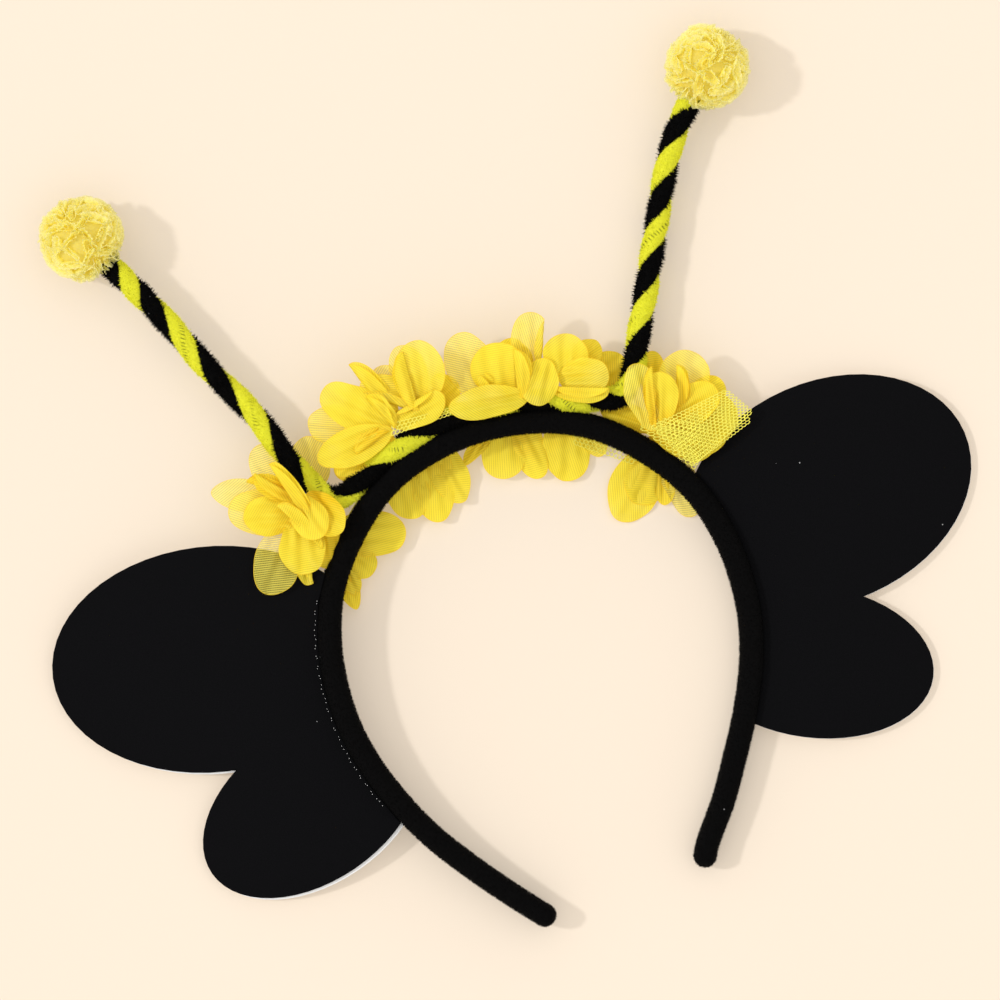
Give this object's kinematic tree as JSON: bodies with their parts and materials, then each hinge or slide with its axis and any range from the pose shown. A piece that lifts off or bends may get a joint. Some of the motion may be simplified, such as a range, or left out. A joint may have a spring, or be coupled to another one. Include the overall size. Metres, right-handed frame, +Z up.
{
  "type": "bee antenna headband",
  "caption": "Black velvet headband for a bee costume, with lobed felt wings, yellow chiffon flowers along the crown and twisted chenille antennae that end in tulle pompoms.",
  "frame": {"origin": "on the surface that the headband lies on, below the middle of the head that it is worn on", "axes": "+X to the right, across the wings; +Y from the band's tips to its crown; +Z up from the surface, through the side that faces the camera"},
  "size_m": [0.2954, 0.2581, 0.0276],
  "materials": {
    "velvet": "black velvet pile",
    "felt": "black felt",
    "foam": "white foam sheet",
    "black_chenille": "black pile on wire",
    "yellow_chenille": "yellow pile on wire",
    "tulle": "yellow tulle net",
    "chiffon": "yellow chiffon, heat-cut edges"
  },
  "bodies": {
    "root": {"headband": "velvet", "left_wing_backing": "foam", "left_wing_felt": "felt", "right_wing_backing": "foam", "right_wing_felt": "felt", "black_chenille_stem": "black_chenille", "yellow_chenille_stem": "yellow_chenille", "left_pompom": "tulle", "right_pompom": "tulle", "net_ribbon": "tulle", "side_flower_left": "chiffon", "crown_flower_left": "chiffon", "crown_flower_middle_left": "chiffon", "crown_flower_middle_right": "chiffon", "crown_flower_right": "chiffon", "side_flower_right": "chiffon"}
  },
  "joints": []
}
